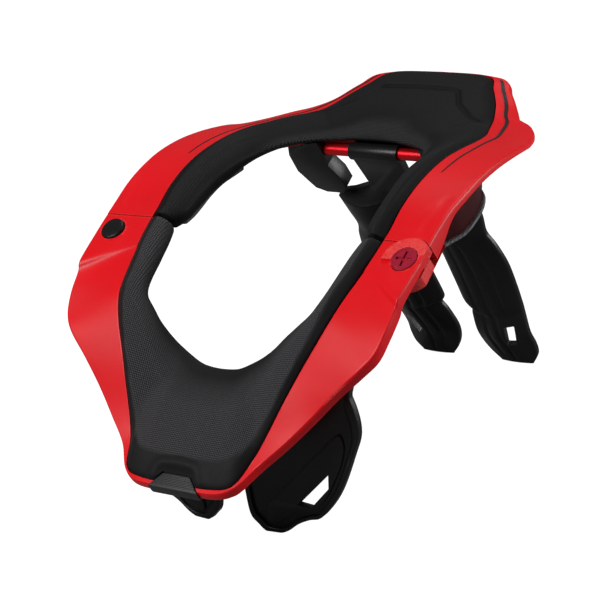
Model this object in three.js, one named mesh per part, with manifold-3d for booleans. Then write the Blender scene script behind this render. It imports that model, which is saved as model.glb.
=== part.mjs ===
import * as THREE from "three";
import { mergeVertices } from "three/addons/utils/BufferGeometryUtils.js";
import Module from "manifold-3d";

const wasm = await Module();
wasm.setup();

// Motocross neck brace, millimetres. Everything is drawn in the frame of the two side pivots:
// +X is the wearer's left, +Y the wearer's back, +Z along the pivots, 0 in the middle between them.
// The whole brace is then pitched up at the back until it stands on its lobes and wings.

// Sizes of the whole brace: the pivots, and how far the chest and the back lie from the parting and below it
const PIVOT_HALF = 106;
const CHEST_LENGTH = 156;
const CHEST_DROP = 41;
const BACK_LENGTH = 201;
const BACK_DROP = 87;
const STANDING_PITCH_DEG = 33;
const FLOOR_LEVEL = -160.6;
const GAP = 0.4;
const KEEP_OUT = 0.8;
const CLEAR_ABOVE = 40;
const CLEAR_BELOW = 8;
const STEPS_PER_ROW = 2;

// Hard frame
const WALL = 5;
const PLATE = 4;
const SEAT = 4;
const INNER_SET = 8;
const WALL_WIDTH = 3.5;
const RIM_BEVEL = 1.2;
const PARTING = { gap: 0.8, holeY: 14.5, edgeY: 13.7, rimY: 10.9 };

// Side pivots
const LUG_RADIUS = 15.5;
const LUG_DEPTH = 6;
const LUG_TOP = -0.4;
const LUG_OVERHANG = 0.7;
const TONGUE_RADIUS = 13;
const TONGUE_BOTTOM = -14.7;
const TONGUE_REACH = 22;
const BUTTON_RADIUS = 7.5;
const BUTTON_TOP = 0.6;
const BUTTON_LENGTH = 4.2;
const PIN_RADIUS = 8;
const PIN_TOP = 0.3;
const PIN_LENGTH = 13.5;
const PIN_SLOT = { length: 10.5, width: 1.8, depth: 1 };
const ROUND_STEPS = 40;

// Pads: how far they rise and hang, and where across the pad its crown lies
const PAD_LIFT = 5;
const PAD_DEPTH = 9;
const PAD_PROUD = 0.6;
const PAD_ROUND = 3.5;
const PAD_CROWN = { outer: 0.62, inner: 0.36, brow: 0.14 };
const PAD_LIP = { set: 1.5, height: 0.65, under: 4 };

// Front tab, set from the chest rim
const TAB = { inside: 7.3, backHalf: 9.6, backRise: 2.5, outside: 1.8, frontHalf: 18.4, frontRise: 0.2, depth: 5.4 };
const TAB_RIB = { count: 4, height: 0.5 };

// Rod under the nape, and what sits on it, set from its axis
const ROD = { forward: 1, below: 11, radius: 3.75, half: 47 };
const SLEEVE_RADIUS = 5.6;
const SLEEVE_ROOM = 0.9;
const SADDLE = { half: 18, waistHalf: 16, waistDrop: 29, footHalf: 8, footDrop: 47, front: 3.5, back: 2 };
const ARM = { length: 38.5, front: 5, back: 5.4 };
const BAR = { half: 47, front: 6.4, back: 13, above: 7, below: 5 };

// Chest lobes
const LOBE = { slopeDeg: 56, turnDeg: 5, setBack: 15.2, drop: 67.2, height: 97, thickness: 5, rimDepth: 1, rimShare: 0.86 };

// Wings
const WING = { length: 208, half: 55.5, lean: 10, bulge: 9, thickness: 4, arcSteps: 8 };
const WING_SLOT = { topSide: 0.712, topDown: 0.765, bottomSide: 0.631, bottomDown: 0.858, width: 7 };

// Shoulder lobes
const SHELL_THICKNESS = 3;
const SHELL_FLARE = 2;
const STRIP_DEPTH = 2.4;
const STRIP_PROUD = 1.4;
const STRIP_SLOPE = 1;
const SHOULDER_TOP = -8;

const rad = THREE.MathUtils.degToRad;
const point = (x, y, z) => new THREE.Vector3(x, y, z);

// One row per section, from the middle of the chest to the parting.
// hole: edge of the neck opening. edge: border between pad and frame. rim: outer edge of the frame.
// X in shares of PIVOT_HALF, Y of the length from the parting, Z of the drop.
const SECTION_COLUMNS = [
  "holeX", "holeY", "holeZ", "edgeX", "edgeY", "edgeZ", "rimX", "rimY", "rimZ", "wall", "lift", "depth",
];
const FRONT_SECTIONS = rows(SECTION_COLUMNS, [
  [0, 0.529, -0.683, 0, 1.003, -0.985, 0, 1, -1, 1.2, 0.5, 0.889],
  [0.066, 0.527, -0.676, 0.226, 1.002, -0.99, 0.255, 1, -1, 1.2, 0.5, 0.889],
  [0.132, 0.52, -0.659, 0.362, 0.97, -0.995, 0.376, 0.957, -1, 1.2, 0.6, 0.889],
  [0.226, 0.498, -0.585, 0.423, 0.855, -0.941, 0.472, 0.859, -0.956, 1.2, 0.7, 0.889],
  [0.33, 0.466, -0.463, 0.476, 0.765, -0.793, 0.594, 0.772, -0.837, 1.2, 0.8, 1],
  [0.425, 0.427, -0.305, 0.542, 0.662, -0.576, 0.726, 0.679, -0.668, 1.2, 0.9, 1],
  [0.5, 0.382, -0.22, 0.604, 0.566, -0.39, 0.858, 0.593, -0.449, 1.3, 1, 1],
  [0.557, 0.347, -0.159, 0.671, 0.469, -0.21, 0.987, 0.516, -0.268, 1.4, 1, 1],
  [0.587, 0.309, -0.122, 0.722, 0.374, -0.085, 1.052, 0.452, -0.195, 1.5, 1, 1],
  [0.604, 0.257, -0.122, 0.748, 0.278, -0.059, 1.077, 0.369, -0.102, 1.6, 1, 1],
  [0.615, 0.18, -0.129, 0.775, 0.163, -0.073, 1.087, 0.282, -0.037, 1.6, 1, 1],
  [0.621, 0.141, -0.134, 0.782, 0.13, -0.063, 1.094, 0.237, 0.029, 1.5, 1, 1],
  [0.632, 0.077, -0.146, 0.791, 0.075, -0.068, 1.106, 0.093, 0, 1.2, 1, 1],
  [0.66, 0, -0.171, 0.799, 0, -0.083, 1.106, 0, -0.013, 1.2, 1, 1],
]);

// One row per section, from the parting to the middle of the back.
const REAR_SECTIONS = rows(SECTION_COLUMNS, [
  [0.66, 0, -0.08, 0.799, 0, -0.039, 1.108, 0, -0.006, 2.6, 1, 1],
  [0.623, 0.04, -0.092, 0.802, 0.044, -0.045, 1.109, 0.053, -0.014, 2.2, 1, 1.111],
  [0.613, 0.105, -0.115, 0.804, 0.119, -0.044, 1.115, 0.133, -0.033, 1.2, 1, 1.222],
  [0.604, 0.175, -0.149, 0.806, 0.203, -0.075, 1.125, 0.217, -0.084, 1, 1, 1.222],
  [0.585, 0.244, -0.195, 0.805, 0.288, -0.138, 1.125, 0.302, -0.152, 1, 1, 1.222],
  [0.566, 0.314, -0.264, 0.799, 0.378, -0.239, 1.117, 0.392, -0.257, 1, 1, 1],
  [0.547, 0.374, -0.345, 0.799, 0.457, -0.356, 1.097, 0.481, -0.393, 1, 1, 0.778],
  [0.509, 0.433, -0.425, 0.792, 0.527, -0.474, 1.062, 0.561, -0.538, 1, 0.9, 0.667],
  [0.443, 0.483, -0.506, 0.769, 0.587, -0.575, 1.017, 0.61, -0.644, 1, 0.8, 0.556],
  [0.358, 0.515, -0.563, 0.708, 0.651, -0.678, 0.953, 0.678, -0.761, 1, 0.7, 0.5],
  [0.264, 0.533, -0.592, 0.628, 0.726, -0.806, 0.858, 0.747, -0.856, 1, 0.6, 0.5],
  [0.189, 0.54, -0.598, 0.585, 0.773, -0.856, 0.741, 0.785, -0.887, 1, 0.6, 0.5],
  [0.132, 0.543, -0.598, 0.533, 0.83, -0.892, 0.656, 0.844, -0.943, 1, 0.6, 0.5],
  [0.085, 0.543, -0.598, 0.448, 0.9, -0.929, 0.552, 0.919, -0.966, 1, 0.6, 0.5],
  [0.038, 0.543, -0.598, 0.344, 0.97, -0.97, 0.429, 0.984, -0.989, 1, 0.6, 0.5],
  [0, 0.543, -0.598, 0, 0.976, -0.961, 0, 1, -1, 1, 0.6, 0.5],
]);

// Side lobes over the shoulders: lower edge of the red shell, from front to back, in the same shares.
const SHOULDER_SECTIONS = rows(["y", "shellX", "shellZ", "innerX", "innerZ"], [
  [0.128, 0.901, -0.437, 0.792, -0.253],
  [0.163, 0.911, -0.476, 0.755, -0.253],
  [0.222, 0.944, -0.538, 0.717, -0.276],
  [0.282, 0.951, -0.57, 0.708, -0.31],
  [0.342, 0.939, -0.6, 0.708, -0.368],
  [0.392, 0.9, -0.628, 0.726, -0.437],
  [0.416, 0.863, -0.628, 0.755, -0.506],
]);

// Outline of a chest lobe in its own plane: side in shares of PIVOT_HALF, up of the lobe's height.
const LOBE_OUTLINE = rows(["side", "up"], [
  [0.277, 0.004], [0.347, 0.03], [0.419, 0.085], [0.492, 0.121], [0.562, 0.142], [0.63, 0.213], [0.693, 0.304],
  [0.747, 0.413], [0.812, 0.575], [0.854, 0.687], [0.861, 0.775], [0.848, 0.861], [0.826, 0.939], [0.79, 1.05],
  [0.246, 0.983], [0.137, 0.859], [0.099, 0.641], [0.089, 0.424], [0.094, 0.286], [0.111, 0.117], [0.157, 0.052],
  [0.207, 0.008],
]);
const LOBE_SLOT = rows(["side", "up"], [[0.644, 0.438], [0.636, 0.346], [0.512, 0.206], [0.433, 0.218]]);

// Wing sections from the top down. down: share of the length below the rod. inX, outX: shares of the half width.
// lean: how far back, in shares of the lean. bulge: how far the middle stands to the front.
const WING_COLUMNS = ["down", "inX", "outX", "lean", "bulge"];
const WING_SECTIONS = rows(WING_COLUMNS, [
  [0.24, 0.18, 0.955, 0.1, 0.889],
  [0.303, 0.171, 0.928, 0.04, 1],
  [0.363, 0.162, 0.892, -0.08, 1],
  [0.414, 0.159, 0.951, -0.19, 1],
  [0.499, 0.155, 1, -0.36, 1],
  [0.602, 0.151, 0.982, -0.56, 1],
  [0.69, 0.15, 0.948, -0.73, 0.944],
  [0.713, 0.22, 0.937, -0.79, 0.889],
  [0.75, 0.18, 0.915, -0.85, 0.833],
  [0.825, 0.137, 0.876, -1.01, 0.667],
  [0.876, 0.162, 0.894, -1.15, 0.5],
  [0.919, 0.234, 0.879, -1.31, 0.333],
  [0.951, 0.333, 0.802, -1.48, 0.167],
  [0.979, 0.414, 0.721, -1.63, 0.067],
]);
// Yoke that spreads from the saddle to the tops of the wings
const YOKE_SECTIONS = rows(WING_COLUMNS, [
  [0.139, 0, 0.306, 0.05, 0.333],
  [0.173, 0, 0.432, 0.07, 0.556],
  [0.2, 0, 0.667, 0.09, 0.778],
  [0.212, 0.036, 0.847, 0.1, 0.856],
  [0.238, 0.18, 0.955, 0.1, 0.889],
]);

// Arm of the bracket, seen from the front: side in shares of the bar's half, up of the arm's length from the rod
const ARM_OUTLINE = rows(["side", "up"], [
  [0.809, 0.286], [1.298, 0.286], [1.415, -0.078], [1.438, -0.494], [1.298, -0.909], [1.138, -1], [0.872, -1],
  [0.766, -0.857], [0.766, -0.545], [0.851, -0.286], [0.809, -0.078],
]);

// Materials
const red = plastic(0xe01822, 0.42);
const darkRed = plastic(0x9c0d16, 0.5);
const blackPad = plastic(0x1b1b1d, 0.72);
const blackPlastic = plastic(0x131314, 0.5);
const greyPad = plastic(0x55565a, 0.85);
const rodRed = new THREE.MeshStandardMaterial({ color: 0xd2141c, roughness: 0.3, metalness: 0.6 });
const pinRed = plastic(0xb5203c, 0.25);

function plastic(color, roughness) {
  return new THREE.MeshStandardMaterial({ color, roughness, metalness: 0 });
}

function rows(columns, table) {
  return table.map((row) => Object.fromEntries(columns.map((name, i) => [name, row[i]])));
}

// Adds rows between the rows of a table on a smooth curve
function refine(table, steps) {
  const names = Object.keys(table[0]);
  const out = [];
  for (let i = 0; i + 1 < table.length; i++) {
    const near = [table[Math.max(i - 1, 0)], table[i], table[i + 1], table[Math.min(i + 2, table.length - 1)]];
    for (let k = 0; k < steps; k++) {
      out.push(Object.fromEntries(names.map((name) => [name, through(near.map((row) => row[name]), k / steps)])));
    }
  }
  out.push(table[table.length - 1]);
  return out;
}

function through([a, b, c, d], t) {
  const startSlope = (c - a) / 2;
  const endSlope = (d - b) / 2;
  const cubic = 2 * b - 2 * c + startSlope + endSlope;
  const square = -3 * b + 3 * c - 2 * startSlope - endSlope;
  return ((cubic * t + square) * t + startSlope) * t + b;
}

function toSolid(geometry) {
  const bare = geometry.clone();
  bare.deleteAttribute("normal");
  bare.deleteAttribute("uv");
  const merged = mergeVertices(bare, 1e-4);
  return new wasm.Manifold(new wasm.Mesh({
    numProp: 3,
    vertProperties: new Float32Array(merged.attributes.position.array),
    triVerts: new Uint32Array(merged.index.array),
  }));
}

function toGeometry(solid) {
  const data = solid.getMesh();
  const geometry = new THREE.BufferGeometry();
  geometry.setAttribute("position", new THREE.BufferAttribute(new Float32Array(data.vertProperties), 3));
  geometry.setIndex(new THREE.BufferAttribute(new Uint32Array(data.triVerts), 1));
  return geometry;
}

// A solid skin over a row of closed sections with the same number of points each
function loft(sections) {
  const count = sections[0].length;
  const positions = sections.flat().flatMap((p) => [p.x, p.y, p.z]);
  const index = [];
  for (let i = 0; i + 1 < sections.length; i++) {
    for (let j = 0; j < count; j++) {
      const a = i * count + j;
      const b = i * count + ((j + 1) % count);
      index.push(a, b, b + count, a, b + count, a + count);
    }
  }
  const last = (sections.length - 1) * count;
  for (const [a, b, c] of capTriangles(sections[0])) index.push(a, c, b);
  for (const [a, b, c] of capTriangles(sections[sections.length - 1])) index.push(last + a, last + b, last + c);
  if (signedVolume(positions, index) < 0) index.reverse();
  const geometry = new THREE.BufferGeometry();
  geometry.setAttribute("position", new THREE.Float32BufferAttribute(positions, 3));
  geometry.setIndex(index);
  return toSolid(geometry);
}

function capTriangles(section) {
  const normal = point(0, 0, 0);
  section.forEach((p, i) => normal.add(p.clone().cross(section[(i + 1) % section.length])));
  normal.normalize();
  const across = Math.abs(normal.z) > 0.9 ? point(1, 0, 0) : point(0, 0, 1).cross(normal).normalize();
  const along = normal.clone().cross(across);
  const flat = section.map((p) => new THREE.Vector2(p.dot(across), p.dot(along)));
  return THREE.ShapeUtils.triangulateShape(flat, []);
}

function signedVolume(positions, index) {
  const at = (i) => point(positions[3 * i], positions[3 * i + 1], positions[3 * i + 2]);
  let sum = 0;
  for (let i = 0; i < index.length; i += 3) {
    sum += at(index[i]).dot(at(index[i + 1]).cross(at(index[i + 2])));
  }
  return sum;
}

function mirror(solid) {
  const geometry = toGeometry(solid);
  geometry.scale(-1, 1, 1);
  geometry.setIndex(Array.from(geometry.index.array).reverse());
  return toSolid(geometry);
}

function box(x0, x1, y0, y1, z0, z1) {
  const geometry = new THREE.BoxGeometry(x1 - x0, y1 - y0, z1 - z0);
  geometry.translate((x0 + x1) / 2, (y0 + y1) / 2, (z0 + z1) / 2);
  return toSolid(geometry);
}

// A cylinder along Z from bottom to top
function post(x, y, radius, bottom, top) {
  const geometry = new THREE.CylinderGeometry(radius, radius, top - bottom, ROUND_STEPS);
  geometry.rotateX(Math.PI / 2);
  geometry.translate(x, y, (bottom + top) / 2);
  return toSolid(geometry);
}

// A cylinder along X around the rod
function bar(radius, half) {
  const geometry = new THREE.CylinderGeometry(radius, radius, 2 * half, ROUND_STEPS);
  geometry.rotateZ(Math.PI / 2);
  geometry.translate(0, rodAxis.y, rodAxis.z);
  return toSolid(geometry);
}

// An outline in the XZ plane, pushed from one Y to another
function slab(outline, frontY, backY) {
  const shape = new THREE.Shape(outline.map((p) => new THREE.Vector2(p.x, p.z)));
  const geometry = new THREE.ExtrudeGeometry(shape, { depth: backY - frontY, bevelEnabled: false });
  geometry.rotateX(Math.PI / 2);
  geometry.translate(0, backY, 0);
  return toSolid(geometry);
}

const hole = (row) => point(row.holeX, row.holeY, row.holeZ);
const edge = (row) => point(row.edgeX, row.edgeY, row.edgeZ);
const rim = (row) => point(row.rimX, row.rimY, row.rimZ);

// Turns a table in shares into millimetres. side is -1 in front of the parting and 1 behind it.
function sectionRows(table, side, length, drop) {
  return table.map((row) => {
    const out = { wall: row.wall * WALL, lift: row.lift * PAD_LIFT, depth: row.depth * PAD_DEPTH };
    for (const place of ["hole", "edge", "rim"]) {
      out[place + "X"] = row[place + "X"] * PIVOT_HALF;
      out[place + "Y"] = PARTING[place + "Y"] + side * (PARTING.gap / 2 + row[place + "Y"] * length);
      out[place + "Z"] = row[place + "Z"] * drop;
    }
    return out;
  });
}

const lower = (p, depth) => point(p.x, p.y, p.z - depth);
const toward = (from, to, distance) => from.clone().add(to.clone().sub(from).setLength(distance));

// Section of the hard frame: the seat under the pad, the open red face, the outer wall.
// grow makes it bigger on the underside and higher on top, to keep other pieces clear.
function frameSection(row, grow = 0, raise = 0) {
  const inner = toward(hole(row), edge(row), INNER_SET - grow);
  const border = edge(row);
  const outer = rim(row);
  const underRim = toward(outer, border, Math.min(WALL_WIDTH, outer.distanceTo(border) / 2) + grow);
  const wide = grow > 0 ? toward(border, outer, border.distanceTo(outer) + grow) : outer;
  return [
    lower(inner, SEAT - raise),
    lower(border, SEAT - raise),
    lower(border, -raise),
    lower(toward(wide, border, RIM_BEVEL / 2), -raise),
    lower(wide, RIM_BEVEL - raise),
    lower(wide, row.wall + grow),
    lower(underRim, row.wall + grow),
    lower(underRim, PLATE + grow),
    lower(border, SEAT + PLATE + grow),
    lower(inner, SEAT + PLATE + grow),
  ];
}

// Section of a pad: it lies on the seat and rolls over the inner edge of the frame.
function padSection(row, grow = 0, raise = 0) {
  const border = edge(row);
  const opening = hole(row);
  const span = opening.distanceTo(border);
  const from = (share, height) => lower(opening.clone().lerp(border, share), -height);
  const inward = (distance, depth) => lower(toward(opening, border, distance), depth);
  const side = GAP / span;
  return [
    from(1 - side, GAP - SEAT),
    from(1 - side, PAD_PROUD + raise),
    from(1 - PAD_ROUND / span, PAD_PROUD + row.lift / 2 + raise),
    from(PAD_CROWN.outer, row.lift + raise),
    from(PAD_CROWN.inner, row.lift + raise),
    from(PAD_CROWN.brow, row.lift / 2 + raise),
    inward(-grow, grow > 0 ? -raise : 0),
    inward(PAD_LIP.set - grow, row.depth * PAD_LIP.height),
    inward(PAD_LIP.under, row.depth + grow),
    inward(INNER_SET - GAP, row.depth + grow),
    inward(INNER_SET - GAP, SEAT - GAP),
  ];
}

// Both sides of a half table that starts or ends in the middle
function bothSides(half, section) {
  const middleFirst = half[0].holeX === 0;
  const fromMiddle = middleFirst ? half : [...half].reverse();
  const right = fromMiddle.map((row) => section(row));
  const left = right.slice(1).reverse().map((points) => points.map((p) => point(-p.x, p.y, p.z)));
  return [...left, ...right];
}

const frontRows = refine(sectionRows(FRONT_SECTIONS, -1, CHEST_LENGTH, CHEST_DROP), STEPS_PER_ROW);
const rearRows = refine(sectionRows(REAR_SECTIONS, 1, BACK_LENGTH, BACK_DROP), STEPS_PER_ROW);
const chestRim = rim(frontRows[0]);
const nape = hole(rearRows[rearRows.length - 1]);
const lugOuter = rim(rearRows[0]).x + LUG_OVERHANG;
const rodAxis = point(0, nape.y - ROD.forward, nape.z - ROD.below);
const frontRing = loft(bothSides(frontRows, (row) => frameSection(row)));
const rearRing = loft(bothSides(rearRows, (row) => frameSection(row)));
const frontKeepOut = loft(bothSides(frontRows, (row) => frameSection(row, KEEP_OUT, CLEAR_ABOVE)));
const rearKeepOut = loft(bothSides(rearRows, (row) => frameSection(row, KEEP_OUT, CLEAR_ABOVE)));
const frontPadKeepOut = loft(bothSides(frontRows, (row) => padSection(row, KEEP_OUT, CLEAR_ABOVE)));
const rearPadKeepOut = loft(bothSides(rearRows, (row) => padSection(row, KEEP_OUT, CLEAR_ABOVE)));

// Tongue under the rear frame that runs forward under the front frame, on the wearer's left
function tongue(grow, deeper) {
  const reach = TONGUE_RADIUS + grow;
  const outer = lugOuter + deeper;
  const top = LUG_TOP - LUG_DEPTH - GAP + grow;
  const bottom = TONGUE_BOTTOM - deeper;
  const disc = post(PIVOT_HALF, 0, reach, bottom, top);
  const neck = box(PIVOT_HALF - reach, outer, 0, TONGUE_REACH, bottom, top);
  return disc.add(neck).intersect(box(0, outer, -2 * reach, TONGUE_REACH, bottom, top));
}

// The lug on the wearer's left turns about the pin
const lugBottom = LUG_TOP - LUG_DEPTH;
const lugDisc = post(PIVOT_HALF, 0, LUG_RADIUS, lugBottom, LUG_TOP);
const lugClip = box(PIVOT_HALF - 2 * LUG_RADIUS, lugOuter, -1, 2 * LUG_RADIUS, lugBottom, LUG_TOP);
const lug = lugDisc.intersect(lugClip);
const lugClear = post(PIVOT_HALF, 0, LUG_RADIUS + GAP, lugBottom - GAP, CLEAR_ABOVE);
const pinHole = post(PIVOT_HALF, 0, PIN_RADIUS + GAP, -CLEAR_ABOVE, CLEAR_ABOVE);
const buttonHole = post(-PIVOT_HALF, 0, BUTTON_RADIUS + GAP, -CLEAR_ABOVE, CLEAR_ABOVE);

const tabClear = tabBody(GAP + TAB_RIB.height);
const tabRoom = tabClear.add(tabClear.translate([0, 0, WALL])).add(tabClear.translate([0, 0, -WALL]));
const rodHole = bar(ROD.radius + GAP, ROD.half + KEEP_OUT);
const sleeveRoom = bar(SLEEVE_RADIUS + SLEEVE_ROOM, SADDLE.half + SLEEVE_ROOM).add(rodHole);
const tongueKeepOut = tongue(GAP, CLEAR_BELOW);
const frontFrame = frontRing.add(lug).subtract(tongueKeepOut).subtract(mirror(tongueKeepOut))
  .subtract(pinHole).subtract(buttonHole).subtract(tabClear);
const rearFrame = rearRing.subtract(lugClear).subtract(pinHole).subtract(sleeveRoom);
const rearClear = rearKeepOut.add(rearKeepOut.translate([0, -KEEP_OUT, 0]));
const hingeTongue = tongue(0, 0).subtract(rearClear).subtract(pinHole);
const frontPad = loft(bothSides(frontRows, (row) => padSection(row))).subtract(tabRoom);
const rearPad = loft(bothSides(rearRows, (row) => padSection(row))).subtract(sleeveRoom);

// Front tab: narrow at the pad, wide at the front, with ribs across the top
function tabBody(grow) {
  const section = (y, half, top) => [
    point(-half - grow, y, top + grow), point(half + grow, y, top + grow),
    point(half + grow, y, top - TAB.depth - grow), point(-half - grow, y, top - TAB.depth - grow),
  ];
  const back = { y: chestRim.y + TAB.inside, top: chestRim.z + TAB.backRise };
  const front = { y: chestRim.y - TAB.outside, top: chestRim.z + TAB.frontRise };
  const sections = [section(back.y + grow, TAB.backHalf, back.top)];
  const steps = TAB_RIB.count * 2;
  for (let i = 1; i < steps; i++) {
    const share = i / steps;
    const rib = i % 2 === 1 && grow === 0 ? TAB_RIB.height : 0;
    const y = THREE.MathUtils.lerp(back.y, front.y, share);
    const half = THREE.MathUtils.lerp(TAB.backHalf, TAB.frontHalf, share);
    const top = THREE.MathUtils.lerp(back.top, front.top, share) + rib;
    const points = section(y, half, top);
    points[2].z -= rib;
    points[3].z -= rib;
    sections.push(points);
  }
  sections.push(section(front.y - grow, TAB.frontHalf, front.top));
  return loft(sections);
}

// Pin with a cross slot, and the button of the latch
const slotAlong = box(
  PIVOT_HALF - PIN_SLOT.length / 2, PIVOT_HALF + PIN_SLOT.length / 2,
  -PIN_SLOT.width / 2, PIN_SLOT.width / 2, PIN_TOP - PIN_SLOT.depth, PIN_TOP + PIN_SLOT.depth,
);
const slotAcross = box(
  PIVOT_HALF - PIN_SLOT.width / 2, PIVOT_HALF + PIN_SLOT.width / 2,
  -PIN_SLOT.length / 2, PIN_SLOT.length / 2, PIN_TOP - PIN_SLOT.depth, PIN_TOP + PIN_SLOT.depth,
);
const pivotPin = post(PIVOT_HALF, 0, PIN_RADIUS, PIN_TOP - PIN_LENGTH, PIN_TOP)
  .subtract(slotAlong).subtract(slotAcross);
const latchButton = post(-PIVOT_HALF, 0, BUTTON_RADIUS, BUTTON_TOP - BUTTON_LENGTH, BUTTON_TOP);

// Chest lobe: a sloping plate under the front frame, with a slot for a strap
function lobePlate(outline, slot, back, front) {
  const flat = (p) => new THREE.Vector2(p.side * PIVOT_HALF, p.up * LOBE.height);
  const shape = new THREE.Shape(outline.map(flat));
  if (slot) shape.holes.push(new THREE.Path(slot.map(flat)));
  const geometry = new THREE.ExtrudeGeometry(shape, { depth: front - back, bevelEnabled: false });
  geometry.translate(0, 0, back);
  geometry.rotateY(rad(LOBE.turnDeg));
  geometry.rotateX(rad(LOBE.slopeDeg));
  geometry.translate(0, chestRim.y + LOBE.setBack, chestRim.z - LOBE.drop);
  return toSolid(geometry);
}

function inset(outline, share) {
  const middle = outline.reduce((sum, p) => sum.add(new THREE.Vector2(p.side, p.up)), new THREE.Vector2());
  middle.divideScalar(outline.length);
  return outline.map((p) => ({
    side: THREE.MathUtils.lerp(middle.x, p.side, share),
    up: THREE.MathUtils.lerp(middle.y, p.up, share),
  }));
}

const floorBox = new THREE.BoxGeometry(4 * PIVOT_HALF, 4 * BACK_LENGTH, 2 * BACK_DROP);
floorBox.translate(0, 0, FLOOR_LEVEL - BACK_DROP);
floorBox.rotateX(-rad(STANDING_PITCH_DEG));
const underFloor = toSolid(floorBox);

const lobePanel = lobePlate(inset(LOBE_OUTLINE, LOBE.rimShare), null, -LOBE.rimDepth, 2 * LOBE.thickness);
const chestLobe = lobePlate(LOBE_OUTLINE, LOBE_SLOT, -LOBE.thickness, 0).subtract(lobePanel)
  .subtract(frontKeepOut).subtract(frontPadKeepOut).subtract(underFloor);

// Shoulder lobe: a red shell outside, a foam block inside with a strip that shows under the shell
const shoulderRows = refine(SHOULDER_SECTIONS.map((row) => ({
  y: rim(rearRows[0]).y + row.y * BACK_LENGTH,
  shellX: row.shellX * PIVOT_HALF,
  shellZ: row.shellZ * BACK_DROP,
  innerX: row.innerX * PIVOT_HALF,
  innerZ: row.innerZ * BACK_DROP,
})), STEPS_PER_ROW);
const shoulderShell = loft(shoulderRows.map((row) => [
  point(row.shellX + SHELL_FLARE, row.y, SHOULDER_TOP),
  point(row.shellX, row.y, row.shellZ),
  point(row.shellX - SHELL_THICKNESS, row.y, row.shellZ),
  point(row.shellX - SHELL_THICKNESS + SHELL_FLARE, row.y, SHOULDER_TOP),
])).subtract(rearKeepOut);
const shoulderPad = loft(shoulderRows.map((row) => {
  const back = row.shellX - SHELL_THICKNESS - GAP;
  const stripTop = row.shellZ - GAP;
  const stripX = row.shellX + STRIP_PROUD;
  return [
    point(back + SHELL_FLARE, row.y, SHOULDER_TOP),
    point(back, row.y, stripTop),
    point(stripX, row.y, stripTop),
    point(stripX, row.y, stripTop - STRIP_DEPTH),
    point(row.shellX - 2 * SHELL_THICKNESS, row.y, stripTop - STRIP_DEPTH + STRIP_SLOPE),
    point(row.innerX, row.y, row.innerZ),
    point(row.innerX, row.y, SHOULDER_TOP),
  ];
})).subtract(rearKeepOut).subtract(rearPadKeepOut);

// Rod, the bracket that holds it, and the saddle that turns on it
const rodSolid = bar(ROD.radius, ROD.half);
const barLevel = [rodAxis.z - BAR.below, rodAxis.z + BAR.above];
const armOutline = ARM_OUTLINE.map((p) => ({ x: p.side * BAR.half, z: rodAxis.z + p.up * ARM.length }));
const arm = slab(armOutline, rodAxis.y - ARM.front, rodAxis.y + ARM.back);
const armFoot = box(armOutline[0].x, BAR.half, rodAxis.y + ARM.back - KEEP_OUT, rodAxis.y + BAR.back, ...barLevel);
const crossBar = box(-BAR.half, BAR.half, rodAxis.y + BAR.front, rodAxis.y + BAR.back, ...barLevel);
const rearBracket = arm.add(armFoot).add(mirror(arm.add(armFoot))).add(crossBar).subtract(rodHole)
  .subtract(rearKeepOut).subtract(rearPadKeepOut);
const saddleHalf = [
  { x: SADDLE.half, z: rodAxis.z },
  { x: SADDLE.waistHalf, z: rodAxis.z - SADDLE.waistDrop },
  { x: SADDLE.footHalf, z: rodAxis.z - SADDLE.footDrop },
];
const saddleOutline = [...saddleHalf, ...[...saddleHalf].reverse().map((p) => ({ x: -p.x, z: p.z }))];
const saddlePlate = slab(saddleOutline, rodAxis.y - SADDLE.front, rodAxis.y + SADDLE.back);

// Wing: a blade that bulges to the front, with a slot near its outer edge
function wingSection(row) {
  const z = rodAxis.z - row.down * WING.length;
  const front = [];
  const back = [];
  for (let i = 0; i <= WING.arcSteps; i++) {
    const share = i / WING.arcSteps;
    const x = THREE.MathUtils.lerp(row.inX, row.outX, share) * WING.half;
    const bulge = row.bulge * WING.bulge * (1 - (2 * share - 1) ** 2);
    const y = rodAxis.y + row.lean * WING.lean - bulge;
    front.push(point(x, y, z));
    back.unshift(point(x, y + WING.thickness, z));
  }
  return [...front, ...back];
}

const slotEnd = (side, down, shift) => ({
  x: side * WING.half + shift,
  z: rodAxis.z - down * WING.length,
});
const slotHalf = WING_SLOT.width / 2;
const wingSlot = slab([
  slotEnd(WING_SLOT.topSide, WING_SLOT.topDown, -slotHalf),
  slotEnd(WING_SLOT.bottomSide, WING_SLOT.bottomDown, -slotHalf),
  slotEnd(WING_SLOT.bottomSide, WING_SLOT.bottomDown, slotHalf),
  slotEnd(WING_SLOT.topSide, WING_SLOT.topDown, slotHalf),
], rodAxis.y - CLEAR_ABOVE, rodAxis.y + CLEAR_ABOVE);
const yoke = loft(YOKE_SECTIONS.map((row) => wingSection(row)));
const saddle = saddlePlate.add(bar(SLEEVE_RADIUS, SADDLE.half)).add(yoke).add(mirror(yoke)).subtract(rodHole);
const wing = loft(WING_SECTIONS.map((row) => wingSection(row))).subtract(wingSlot).subtract(underFloor);

const group = new THREE.Group();
group.name = "neck_brace";

function place(name, solid, material) {
  const flat = toGeometry(solid).toNonIndexed();
  flat.computeVertexNormals();
  const mesh = new THREE.Mesh(flat, material.clone());
  mesh.name = name;
  group.add(mesh);
}

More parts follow.
